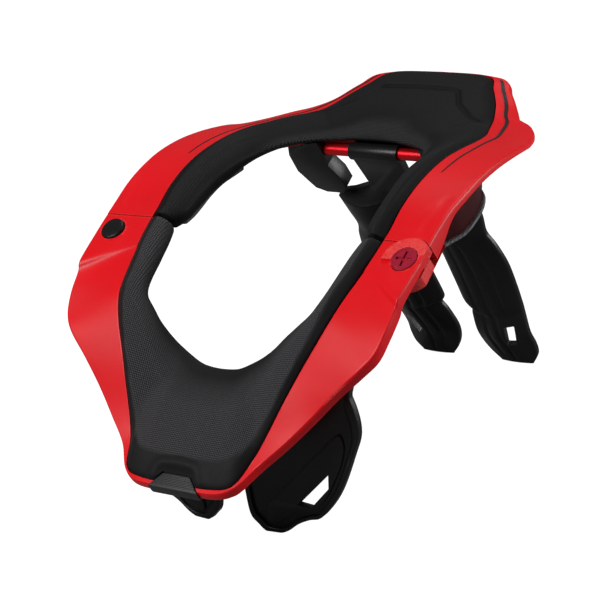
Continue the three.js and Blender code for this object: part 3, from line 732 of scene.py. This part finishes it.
def tongue(side, grow, deeper):
    reach = TONGUE_RADIUS + grow
    outer = LUG_OUTER + deeper
    top = LUG_TOP - LUG_DEPTH - GAP + grow
    bottom = TONGUE_BOTTOM - deeper
    disc = turned("disc", [(0, bottom), (reach, bottom), (reach, top), (0, top)], (PIVOT_HALF, 0, 0))
    combine(disc, block(PIVOT_HALF - reach, outer, 0, TONGUE_REACH, bottom, top), "UNION")
    combine(disc, block(0, outer, -2 * reach, TONGUE_REACH, bottom - 1, top + 1), "INTERSECT")
    if side < 0:
        other = mirrored(disc, "disc_right")
        bpy.data.objects.remove(disc)
        return other
    return disc


def post(x, radius, bottom, top):
    return turned("post", [(0, bottom), (radius, bottom), (radius, top), (0, top)], (x, 0, 0))


front_frame = loft("hard_front", both_sides(front_fine, frame_section))
lug_profile = [(0, LUG_TOP - LUG_DEPTH), (LUG_RADIUS, LUG_TOP - LUG_DEPTH), (LUG_RADIUS, LUG_TOP - 0.6),
               (LUG_RADIUS - 0.6, LUG_TOP), (0, LUG_TOP)]
lug = turned("lug", lug_profile, (PIVOT_HALF, 0, 0))
combine(lug, block(PIVOT_HALF - 40, LUG_OUTER, -1, 40, -20, 20), "INTERSECT")
combine(front_frame, lug, "UNION")
for side in (1, -1):
    combine(front_frame, tongue(side, GAP, TONGUE_ROOM), "DIFFERENCE")
combine(front_frame, post(PIVOT_HALF, PIN_RADIUS + GAP, -30, 20), "DIFFERENCE")
combine(front_frame, post(-PIVOT_HALF, BUTTON_RADIUS + GAP, -30, 20), "DIFFERENCE")

rear_frame = loft("hard_rear", both_sides(rear_fine, frame_section))
combine(rear_frame, post(PIVOT_HALF, LUG_RADIUS + GAP, LUG_TOP - LUG_DEPTH - GAP, 20), "DIFFERENCE")
for side in (1, -1):
    combine(rear_frame, tongue(side, 0, 0), "UNION")
combine(rear_frame, post(PIVOT_HALF, PIN_RADIUS + GAP, -30, 20), "DIFFERENCE")


# Dents and creases of the open red faces, on both sides. Each: points x y, width, depth
FRONT_CREASES = [
    ([(93.8, 8), (93.2, 2.7), (92.3, -6.5), (90, -12)], 0.8, 0.5),
    ([(94, -6), (104, -19), (115.4, -30.4)], 4.0, -0.35),
]
REAR_CREASES = [
    ([(106.5, 17), (109, 30), (111.2, 45), (112, 52)], 1.4, 0.6),
    ([(93.6, 16), (101.5, 31.4), (112, 51.5)], 1.0, 0.35),
]
for piece, creases in ((front_frame, FRONT_CREASES), (rear_frame, REAR_CREASES)):
    for line, width, depth in creases:
        for side in (1, -1):
            carve(piece, np.array(line) * [side, 1], width, depth)


# Stripe on the rear frame. Columns: row of the table, share from the pad to the rim, width
STRIPE = np.array([
    [4.0, 0.23, 0.7], [4.6, 0.24, 1.0], [5.7, 0.24, 1.2], [6.8, 0.22, 1.4], [7.8, 0.27, 1.7],
    [9.0, 0.31, 2.1], [10.0, 0.37, 2.4], [11.1, 0.46, 2.5], [12.4, 0.55, 2.5], [13.2, 0.57, 2.4],
    [13.7, 0.52, 2.2],
])
STRIPE_HALF = 0.3


def stripe_section(at):
    share, width = np.interp(at, STRIPE[:, 0], STRIPE[:, 1]), np.interp(at, STRIPE[:, 0], STRIPE[:, 2])
    k = min(int(at * ROWS_FINE), len(rear_fine) - 2)
    t = at * ROWS_FINE - k
    r = rear_fine[k] * (1 - t) + rear_fine[k + 1] * t
    border, outer = r[3:6], r[6:9]
    middle = border + (outer - border) * share
    a, b = toward(middle, border, width / 2), toward(middle, outer, width / 2)
    under, over = STRIPE_HALF, -STRIPE_HALF
    return np.array([lower(a, under), lower(b, under), lower(b, over), lower(a, over)])


stripe_rows = np.linspace(STRIPE[0, 0], STRIPE[-1, 0], 120)
stripe_left = loft("stripe_left", [stripe_section(t) for t in stripe_rows])
stripe_right = mirrored(stripe_left, "stripe_right")


# Pads
TOP_COUNT = 26
WEAVE_START = 6.8


def woven_share(section, rear):
    """How woven the skin is at each point of a section: not on the slope at the border nor on the lip."""
    top = section[:TOP_COUNT]
    run = np.concatenate([[0], np.cumsum(np.linalg.norm(np.diff(top, axis=0), axis=1))])
    start = GAP + SEAT + WEAVE_START + 7.0 * front_share(top[0])
    begin = np.clip((run - start) / 0.8, 0, 1)
    across = run / run[-1]
    field = begin * np.clip((0.84 - across) / 0.3, 0, 1)
    if rear:
        nape = min(max((top[0][1] - 95) / 30, 0), 1)
        # The nape band gets the full weave, and with it the pad material's painted crown highlight.
        band = np.clip((across - 0.7) / 0.12, 0, 1) * np.clip((0.97 - across) / 0.08, 0, 1)
        field = np.maximum(field * (0.45 - 0.25 * nape), band * nape)
    return np.concatenate([field, np.zeros(len(section) - TOP_COUNT)])


def pad(name, rows, rear):
    sections = both_sides(rows, pad_section)
    count = len(sections[0])
    woven = np.concatenate([woven_share(section, rear) for section in sections])
    obj = loft(name, sections, {"weave": woven})
    held = [i for i in range(len(sections) * count) if i % count >= TOP_COUNT - 1 or i % count < 2]
    swell(obj, held, SWELL_CAP)
    subdivide(obj, 2)
    return obj


def smooth_out(obj, line, width):
    """Takes the weave off along a line."""
    dist = near_line(to_pin(coords(obj)), line)[0]
    values = np.empty(len(dist), np.float32)
    stored = obj.data.attributes["weave"].data
    stored.foreach_get("value", values)
    stored.foreach_set("value", (values * np.clip((dist - width) / 1.0, 0, 1)).astype(np.float32))


front_pad = pad("pad_front", front_coarse, False)
rear_pad = pad("pad_rear", rear_coarse, True)

# Collar of the front pad round the tab, and the hexagonal relief on the rear pad
COLLAR = [(-17, -141), (-15, -136.5), (-12, -133.5), (0, -132.5), (12, -133.5), (15, -136.5), (17, -141)]
carve(front_pad, COLLAR, 3.0, -1.6, fade=0)
carve(front_pad, [(-8, -139), (8, -139)], 3.0, 0.8, fade=0)
smooth_out(front_pad, COLLAR, 3.4)
smooth_out(front_pad, [(-9, -138), (9, -138)], 7)
HEXAGON = [(-72, 148), (-59.7, 155), (-51.4, 159.2), (-38, 170.4), (-29, 184.9), (29, 184.9), (38, 170.4),
           (51.4, 159.2), (59.7, 155), (72, 148)]
BEHIND = [(-31, 187.8), (31, 187.8)]
SIDE_RIDGE = [(74, 52), (72.5, 66), (71.1, 80), (70.2, 93), (66, 112)]
carve(rear_pad, HEXAGON, 1.5, 1.3, fade=20)
carve(rear_pad, BEHIND, 1.2, -0.9)
for side in (1, -1):
    carve(rear_pad, np.array(SIDE_RIDGE) * [side, 1], 1.6, -0.55, fade=14)
smooth_out(rear_pad, HEXAGON, 1.2)
rear_room = turned("room", [
    (0, -SLEEVE_HALF), (SLEEVE_RADIUS, -SLEEVE_HALF), (SLEEVE_RADIUS, SLEEVE_HALF), (0, SLEEVE_HALF),
], (0, ROD_Y, ROD_Z), axis="x")


# Front tab. Back and front edges: y, half width, top
TAB = {"back": (-138.2, 9.6, -38.5), "front": (-147.3, 18.4, -40.8), "depth": 5.4}
TAB_RIBS = 8
TAB_RIB = 0.28
TAB_ROOM_ABOVE = 3
TAB_ROOM_DEPTH = 9


def tab_section(share, inset=0.0, raise_by=0.0):
    (y0, h0, t0), (y1, h1, t1) = TAB["back"], TAB["front"]
    y, half, top = y0 + (y1 - y0) * share, h0 + (h1 - h0) * share - inset, t0 + (t1 - t0) * share + raise_by
    bottom = top - TAB["depth"]
    corners = np.array([(-half, y, top), (half, y, top), (half, y, bottom), (-half, y, bottom)])
    return rounded(corners, [1.1, 1.1, 1.0, 1.0], 4)


tab_sections = [tab_section(0, 0.8, -0.6), tab_section(0.03, 0.2, -0.1)]
for k in range(1, TAB_RIBS + 1):
    start = 0.03 + 0.88 * (k - 0.5) / (TAB_RIBS + 1)
    for step, height in ((0, 0), (0.02, TAB_RIB), (0.055, TAB_RIB), (0.07, 0)):
        tab_sections.append(tab_section(start + step, 0, height))
tab_sections += [tab_section(0.93, 0, -0.1), tab_section(0.98, 0.3, -0.5), tab_section(1.0, 0.9, -1.2)]
front_tab = loft("release_tab", tab_sections)
tab_clear_sections = []
for (y, half, top), behind, beside in ((TAB["back"], GAP, GAP), (TAB["front"], -1, 1.3)):
    y += behind
    half += beside
    top += TAB_ROOM_ABOVE
    bottom = top - TAB_ROOM_DEPTH
    corners = [(-half, y, top), (half, y, top), (half, y, bottom), (-half, y, bottom)]
    tab_clear_sections.append(np.array(corners))
tab_clear = loft("tab_clear", tab_clear_sections)
pad_cut = new_object("pad_cut", tab_clear.data.copy())
combine(front_frame, tab_clear, "DIFFERENCE")
combine(front_pad, pad_cut, "DIFFERENCE")
combine(rear_pad, rear_room, "DIFFERENCE")

dress(front_frame, red_plastic, "front", ["front_frame"], 30)
dress(rear_frame, red_plastic, "base", ["rear_frame", "tongue_left", "tongue_right"], 30)
dress(front_pad, front_skin, "front", ["front_pad"], 50)
dress(rear_pad, rear_skin_painted_shade, "base", ["rear_pad"], 50)
for stripe in (stripe_left, stripe_right):
    dress(stripe, black_plastic, "base", None)
dress(front_tab, tab_plastic, "front", ["front_tab"], 35)

# Pin and button
pin = turned("pin_disc", [
    (0, PIN_TOP - PIN_LENGTH), (PIN_RADIUS, PIN_TOP - PIN_LENGTH), (PIN_RADIUS, PIN_TOP - 0.5),
    (PIN_RADIUS - 0.4, PIN_TOP), (PIN_RADIUS - 1.4, PIN_TOP), (PIN_RADIUS - 1.7, PIN_TOP - 0.35),
    (0, PIN_TOP - 0.35),
], (PIVOT_HALF, 0, 0), steps=96)
for half_x, half_y in ((CROSS_REACH, CROSS_HALF), (CROSS_HALF, CROSS_REACH)):
    arm = block(PIVOT_HALF - half_x, PIVOT_HALF + half_x, -half_y, half_y, PIN_TOP - CROSS_DEPTH, PIN_TOP + 1)
    combine(pin, arm, "DIFFERENCE")
dress(pin, pin_plastic, "base", ["pivot_pin"], 30)
button = turned("button_disc", [
    (0, BUTTON_TOP - BUTTON_LENGTH), (BUTTON_RADIUS, BUTTON_TOP - BUTTON_LENGTH),
    (BUTTON_RADIUS, BUTTON_TOP - 0.7), (BUTTON_RADIUS - 0.25, BUTTON_TOP - 0.25),
    (BUTTON_RADIUS - 0.8, BUTTON_TOP), (0, BUTTON_TOP),
], (-PIVOT_HALF, 0, 0), steps=96)
dress(button, black_plastic, "button", ["latch_button"], 40)

# Rod
rod = turned("cross_rod", [
    (0, -ROD_HALF), (ROD_RADIUS - 0.6, -ROD_HALF), (ROD_RADIUS, -ROD_HALF + 0.6),
    (ROD_RADIUS, ROD_HALF - 0.6), (ROD_RADIUS - 0.6, ROD_HALF), (0, ROD_HALF),
], (0, ROD_Y, ROD_Z), axis="x")
dress(rod, rod_metal, "base", ["red_rod"], 40)


# Chest lobes
def closed_curve(outline, steps):
    n = len(outline)
    out = []
    for i in range(n):
        a, b, c, d = (outline[(i + k - 1) % n] for k in range(4))
        for k in range(steps):
            t = k / steps
            square = 2 * a - 5 * b + 4 * c - d
            cubic = 3 * b - a - 3 * c + d
            out.append(0.5 * (2 * b + (c - a) * t + square * t * t + cubic * t ** 3))
    return np.array(out)


def inset(outline, share):
    middle = outline.mean(0)
    return middle + (outline - middle) * share


def plate(name, outline, holes, front, back, bevel):
    """A flat plate with rounded edges, made as a filled curve, in the plane of a chest lobe."""
    data = bpy.data.curves.new(name, "CURVE")
    data.dimensions = "2D"
    data.fill_mode = "BOTH"
    data.extrude = (front - back) / 2 - bevel
    data.bevel_depth = bevel
    data.bevel_resolution = 3
    data.offset = -bevel
    for loop in [outline] + holes:
        spline = data.splines.new("POLY")
        spline.points.add(len(loop) - 1)
        spline_points = np.column_stack([loop, np.zeros(len(loop)), np.ones(len(loop))])
        spline.points.foreach_set("co", spline_points.ravel())
        spline.use_cyclic_u = True
    curve = new_object(name, data)
    depsgraph = bpy.context.evaluated_depsgraph_get()
    mesh = bpy.data.meshes.new_from_object(curve.evaluated_get(depsgraph))
    bpy.data.objects.remove(curve)
    obj = new_object(name, mesh)
    p = coords(obj)
    p[:, 2] += (front + back) / 2
    c, s = math.cos(LOBE["turn"]), math.sin(LOBE["turn"])
    p = np.stack([c * p[:, 0] + s * p[:, 2], p[:, 1], c * p[:, 2] - s * p[:, 0]], 1)
    c, s = math.cos(LOBE["slope"]), math.sin(LOBE["slope"])
    placed = np.stack([
        p[:, 0], c * p[:, 1] - s * p[:, 2] + LOBE["y"], s * p[:, 1] + c * p[:, 2] + LOBE["z"],
    ], 1)
    set_coords(obj, to_row(placed))
    weld(obj)
    return obj


def weld(obj, distance=1e-6):
    bm = bmesh.new()
    bm.from_mesh(obj.data)
    bmesh.ops.remove_doubles(bm, verts=bm.verts, dist=distance)
    bmesh.ops.recalc_face_normals(bm, faces=bm.faces)
    bm.to_mesh(obj.data)
    bm.free()


lobe_scale = np.array([PIVOT_HALF, LOBE["height"]])
lobe_edge = closed_curve(LOBE_OUTLINE * lobe_scale, 6)
lobe_slot = closed_curve(LOBE_SLOT * lobe_scale, 1)
thick = LOBE["thickness"]
lobe_base = plate("lobe_base", lobe_edge, [lobe_slot], -1.6, -thick, 0.5)
lobe_rim = plate("lobe_rim", lobe_edge, [inset(lobe_edge, 0.92)], 0, -2.4, 0.6)
lobe_face = plate("lobe_face", inset(lobe_edge, 0.875), [lobe_slot], -1.1, -2.4, 0.4)


def keep_out(rows):
    return loft("keep_out", both_sides(rows, lambda r: frame_corners(r, KEEP_OUT, CLEAR_ABOVE)))


def under_floor():
    obj = block(0, 1, 0, 1, 0, 1)
    set_coords(obj, [(x, y, z) for z in (-0.2, 0.0) for y in (-0.6, 0.6) for x in (-0.6, 0.6)])
    return obj


# Raised panel round the slot: the step line, then back along the rim
LOBE_PANEL = np.array([
    [0.22, 0.085], [0.232, 0.154], [0.259, 0.21], [0.332, 0.286], [0.469, 0.434], [0.646, 0.623],
    [0.735, 0.7], [0.76, 0.62], [0.727, 0.5], [0.675, 0.39], [0.62, 0.29], [0.565, 0.22],
    [0.5, 0.185], [0.43, 0.165], [0.36, 0.125], [0.3, 0.085], [0.25, 0.065],
])
lobe_panel = plate("lobe_panel", closed_curve(LOBE_PANEL * lobe_scale, 4), [lobe_slot], 0.2, -1.3, 0.45)
lobe_layers = [lobe_base, lobe_rim, lobe_face, lobe_panel]
for layer in lobe_layers:
    combine(layer, keep_out(front_coarse), "DIFFERENCE")
    combine(layer, under_floor(), "DIFFERENCE")
lobe_left = join("lobe_left", lobe_layers)
lobe_right = mirrored(lobe_left, "lobe_right")
dress(lobe_left, black_plastic, "front", ["chest_lobe_left"], 32)
dress(lobe_right, black_plastic, "front", ["chest_lobe_right"], 32)

# Shoulder lobes
shoulder = SHOULDER_SECTIONS * np.array([BACK_LENGTH, PIVOT_HALF, BACK_DROP, PIVOT_HALF, BACK_DROP])
shoulder[:, 0] += PARTING["rim"] + PARTING_GAP / 2
shoulder = refine(shoulder, 6)


def shell_section(r):
    y, x, z = r[:3]
    corners = np.array([(x + SHELL_FLARE, y, SHOULDER_TOP), (x, y, z), (x - SHELL_THICKNESS, y, z),
                        (x - SHELL_THICKNESS + SHELL_FLARE, y, SHOULDER_TOP)])
    return rounded(corners, [0, 1.0, 1.0, 0], 4)


def foam_section(r):
    y, x, z, inner_x, inner_z = r
    back, top = x - SHELL_THICKNESS - GAP, z - GAP
    corners = np.array([
        (back + SHELL_FLARE, y, SHOULDER_TOP), (back, y, top), (x + STRIP_PROUD, y, top),
        (x + STRIP_PROUD, y, top - STRIP_DEPTH), (x - 2 * SHELL_THICKNESS, y, top - STRIP_DEPTH + 1),
        (inner_x, y, inner_z), (inner_x, y, SHOULDER_TOP),
    ])
    return rounded(corners, [0, 0, 0.8, 0.8, 4, 6, 0], 3)


shell_left = loft("shell_left", [shell_section(r) for r in shoulder])
foam_left = loft("foam_left", [foam_section(r) for r in shoulder])
for piece in (shell_left, foam_left):
    combine(piece, keep_out(rear_coarse), "DIFFERENCE")
shell_right = mirrored(shell_left, "shell_right")
foam_right = mirrored(foam_left, "foam_right")
dress(shell_left, shell_red_painted_shade, "base", ["shoulder_shell_left"], 40)
dress(shell_right, shell_red_painted_shade, "base", ["shoulder_shell_right"], 40)
for foam, cad_name in ((foam_left, "shoulder_pad_left"), (foam_right, "shoulder_pad_right")):
    dress(foam, foam_skin, "base", [cad_name], 50)

# Wings
WING_SHARES = np.concatenate([[0, 0.05], np.linspace(0.09, 0.91, 42), [0.95, 1]])
# Columns: place across, start down, end down
WING_GROOVES = [(0.30, 0.30, 0.93), (0.52, 0.36, 0.95), (0.74, 0.42, 0.70)]
GROOVE_DEPTH = 1.1
GROOVE_WIDTH = 0.035


def wing_section(r):
    down, in_x, out_x, lean, bulge = r
    z = ROD_Z - down * WING["length"]
    front, back = [], []
    for t in WING_SHARES:
        x = (in_x + (out_x - in_x) * t) * WING["half"]
        y = ROD_Y + lean * WING["lean"] - bulge * WING["bulge"] * (1 - (2 * t - 1) ** 2)
        cut = 0.0
        for at, start, end in WING_GROOVES:
            ends = min(max((down - start) / 0.04, 0), 1) * min(max((end - down) / 0.05, 0), 1)
            cut += GROOVE_DEPTH * ends * math.exp(-((t - at) / GROOVE_WIDTH) ** 2)
        front.append((x, y + cut, z))
        back.insert(0, (x, y + WING["thickness"], z))
    points = np.array(front + back)
    n = len(front)
    radii = np.zeros(len(points))
    radii[[0, n - 1, n, 2 * n - 1]] = 1.6
    return rounded(points, radii, 3)


wing_rows = refine(WING_SECTIONS, 5)
wing_left = loft("blade_left", [wing_section(r) for r in wing_rows])
SLOT_HALF = 3.5
SLOT_CORNER = 1.2
SLOT_REACH = 40
SLOT_TOP = (0.712, 0.765)
SLOT_BOTTOM = (0.631, 0.858)
slot_corners = [
    (SLOT_TOP, -SLOT_HALF), (SLOT_BOTTOM, -SLOT_HALF), (SLOT_BOTTOM, SLOT_HALF), (SLOT_TOP, SLOT_HALF),
]
slot_path = np.array([
    (place[0] * WING["half"] + shift, 0, ROD_Z - place[1] * WING["length"]) for place, shift in slot_corners
])
slot_ends = [slot_path + np.array([0, y, 0]) for y in (ROD_Y - SLOT_REACH, ROD_Y + SLOT_REACH)]
slot_room = loft("slot_room", [rounded(end, [SLOT_CORNER] * 4, 4) for end in slot_ends])
combine(wing_left, slot_room, "DIFFERENCE")
combine(wing_left, under_floor(), "DIFFERENCE")
wing_right = mirrored(wing_left, "blade_right")
dress(wing_left, black_plastic, "wings", ["wing_left"], 40)
dress(wing_right, black_plastic, "wings", ["wing_right"], 40)


# Bracket and saddle: the CAD shapes with softened edges
def softened(cad_name, name, width):
    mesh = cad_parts[cad_name].data.copy()
    obj = new_object(name, mesh)
    bm = bmesh.new()
    bm.from_mesh(mesh)
    bmesh.ops.remove_doubles(bm, verts=bm.verts, dist=1e-6)
    bmesh.ops.dissolve_limit(bm, angle_limit=math.radians(2), verts=bm.verts, edges=bm.edges)
    bm.to_mesh(mesh)
    bm.free()
    mod = obj.modifiers.new("soft", "BEVEL")
    mod.width = width
    mod.segments = 3
    mod.limit_method = "ANGLE"
    mod.angle_limit = math.radians(35)
    apply_modifiers(obj)
    return obj


bracket_body = softened("rear_bracket", "bracket_body", 0.0007)
dress(bracket_body, black_plastic, "base", ["rear_bracket"], 30)
saddle_body = softened("wing_saddle", "saddle_body", 0.0006)
dress(saddle_body, black_plastic, "wings", ["wing_saddle"], 30)

# Floor, light and camera
FLOOR_HALF = 7
floor_corners = [(x * FLOOR_HALF, y * FLOOR_HALF, 0) for x, y in ((-1, -1), (1, -1), (1, 1), (-1, 1))]
floor_mesh = bpy.data.meshes.new("floor")
floor_mesh.from_pydata(floor_corners, [], [(0, 1, 2, 3)])
floor = new_object("floor", floor_mesh)
floor.location.z = -0.0004
floor_material, floor_tree, floor_shader = tree_of("pale_floor")
floor_shader.inputs["Base Color"].default_value = (0.22, 0.22, 0.22, 1)
floor_shader.inputs["Roughness"].default_value = 0.9
floor_shader.inputs["Emission Color"].default_value = (1, 1, 1, 1)
floor_seen = floor_tree.nodes.new("ShaderNodeLightPath").outputs["Is Camera Ray"]
floor_tree.links.new(ramp(floor_tree, floor_seen, 0, 1, 0, 0.95), floor_shader.inputs["Emission Strength"])
floor_mesh.materials.append(floor_material)

world = bpy.data.worlds.new("studio")
scene.world = world
world.use_nodes = True
seen = world.node_tree.nodes.new("ShaderNodeLightPath").outputs["Is Camera Ray"]
world.node_tree.nodes["Background"].inputs["Color"].default_value = (1, 1, 1, 1)
world.node_tree.links.new(
    ramp(world.node_tree, seen, 0, 1, 0.12, 1), world.node_tree.nodes["Background"].inputs["Strength"])
scene.view_settings.view_transform = "Standard"


def softbox(name, place, target, size, energy):
    data = bpy.data.lights.new(name, "AREA")
    data.shape = "RECTANGLE"
    data.size, data.size_y = size
    data.energy = energy
    lamp = bpy.data.objects.new(name, data)
    scene.collection.objects.link(lamp)
    lamp.location = place
    lamp.rotation_euler = (Vector(target) - Vector(place)).to_track_quat("-Z", "Y").to_euler()


# Columns: name, place, target, size, energy
LAMPS = [
    ("key", (-0.5, -1.4, 1.25), (0, -0.05, 0.12), (0.8, 0.7), 27),
    ("right", (1.3, 0.9, 0.45), (0, 0, 0.12), (0.35, 1.1), 19),
    ("top", (-0.2, 0.6, 1.8), (0, 0.05, 0.1), (0.9, 0.9), 9),
]
for lamp_row in LAMPS:
    softbox(*lamp_row)

camera_data = bpy.data.cameras.new("photo_camera")
camera_data.lens = 129
camera_data.sensor_width = 36
camera_data.clip_start = 0.05
camera = bpy.data.objects.new("photo_camera", camera_data)
scene.collection.objects.link(camera)
CAMERA_PLACE = (0.74569, -1.00616, 0.5399)
CAMERA_AXES = Matrix(((0.81396, 0.56891, -0.1175), (-0.0993, 0.33554, 0.93678), (0.57237, -0.75083, 0.32961)))
camera.matrix_world = Matrix.Translation(CAMERA_PLACE) @ CAMERA_AXES.transposed().to_4x4()
scene.camera = camera
